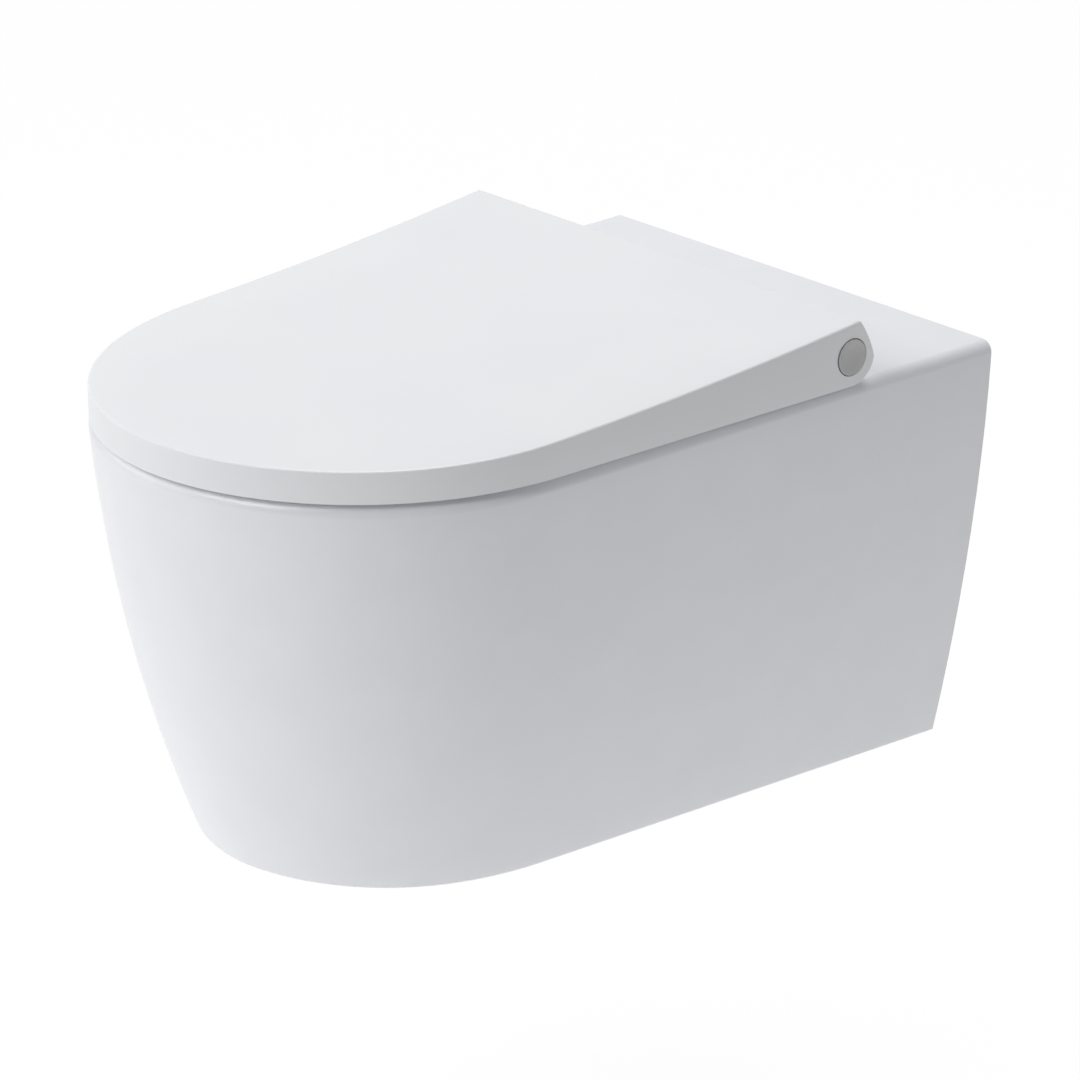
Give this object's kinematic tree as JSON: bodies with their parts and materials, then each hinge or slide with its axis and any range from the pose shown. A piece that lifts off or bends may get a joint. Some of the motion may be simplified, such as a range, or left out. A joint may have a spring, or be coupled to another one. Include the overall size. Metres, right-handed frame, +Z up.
{
  "type": "wall hung toilet",
  "caption": "Wall hung toilet with a tapering skirt round a rimless bowl, a soft-closing seat under an overlapping lid, and round release caps on the hinge axis.",
  "frame": {"origin": "on the wall plane, half way between the two wall studs", "axes": "+Y into the wall, -Y to the front, +Z up, +X to the viewer's right when facing the wall"},
  "size_m": [0.3732, 0.571, 0.341],
  "materials": {
    "pan_glaze": "glossy white glaze",
    "lid_plastic": "glossy white duroplast",
    "seat_plastic": "glossy white duroplast",
    "cap_metal": "satin",
    "buffer_rubber": "matt",
    "steel": "brushed",
    "hinge_metal": "satin",
    "nylon": "matt"
  },
  "bodies": {
    "pan": {"ceramic_pan": "pan_glaze", "clamp_screw_left": "steel", "clamp_screw_right": "steel", "post_bushing_left": "buffer_rubber", "post_bushing_right": "buffer_rubber", "post_gasket_left": "buffer_rubber", "post_gasket_right": "buffer_rubber", "post_nut_left": "steel", "post_nut_right": "steel", "post_washer_left": "steel", "post_washer_right": "steel", "seat_post_left": "steel", "seat_post_right": "steel", "stud_liner_left": "nylon", "stud_liner_right": "nylon"},
    "hinge_carriage": {"button_spring_left": "steel", "button_spring_right": "steel", "hinge_block_left": "hinge_metal", "hinge_block_right": "hinge_metal", "lid_damper_rotor": "nylon", "lid_hinge_pin": "steel", "seat_damper_rotor": "nylon", "seat_hinge_pin": "steel"},
    "seat": {"seat_buffer_front_left": "buffer_rubber", "seat_buffer_front_right": "buffer_rubber", "seat_buffer_rear_left": "buffer_rubber", "seat_buffer_rear_right": "buffer_rubber", "seat_bush": "nylon", "seat_damper_housing": "nylon", "seat_ring": "seat_plastic"},
    "lid": {"lid_buffer_front_left": "buffer_rubber", "lid_buffer_front_right": "buffer_rubber", "lid_buffer_rear_left": "buffer_rubber", "lid_buffer_rear_right": "buffer_rubber", "lid_bush": "nylon", "lid_damper_housing": "nylon", "lid_shell": "lid_plastic"},
    "release_button_left": {"button_cap_left": "cap_metal", "release_rod_left": "steel", "release_slide_left": "steel"},
    "release_button_right": {"button_cap_right": "cap_metal", "release_rod_right": "steel", "release_slide_right": "steel"}
  },
  "joints": [
    {"name": "seat_and_lid_lift_off", "type": "slide", "parent": "pan", "child": "hinge_carriage", "axis": [0, 0, 1], "range_m": [0, 0.035]},
    {"name": "seat_hinge", "type": "hinge", "parent": "hinge_carriage", "child": "seat", "pos_m": [0, -0.1338, 0.1015], "axis": [-1, 0, 0], "range_deg": [0, 98]},
    {"name": "lid_hinge", "type": "hinge", "parent": "seat", "child": "lid", "pos_m": [0, -0.1338, 0.1015], "axis": [1, 0, 0], "range_deg": [-100, 0]},
    {"name": "release_button_left_press", "type": "slide", "parent": "hinge_carriage", "child": "release_button_left", "axis": [1, 0, 0], "range_m": [0, 0.003], "stiffness_N_per_m": 400, "springref_m": -0.002},
    {"name": "release_button_right_press", "type": "slide", "parent": "hinge_carriage", "child": "release_button_right", "axis": [-1, 0, 0], "range_m": [0, 0.003], "stiffness_N_per_m": 400, "springref_m": -0.002}
  ]
}
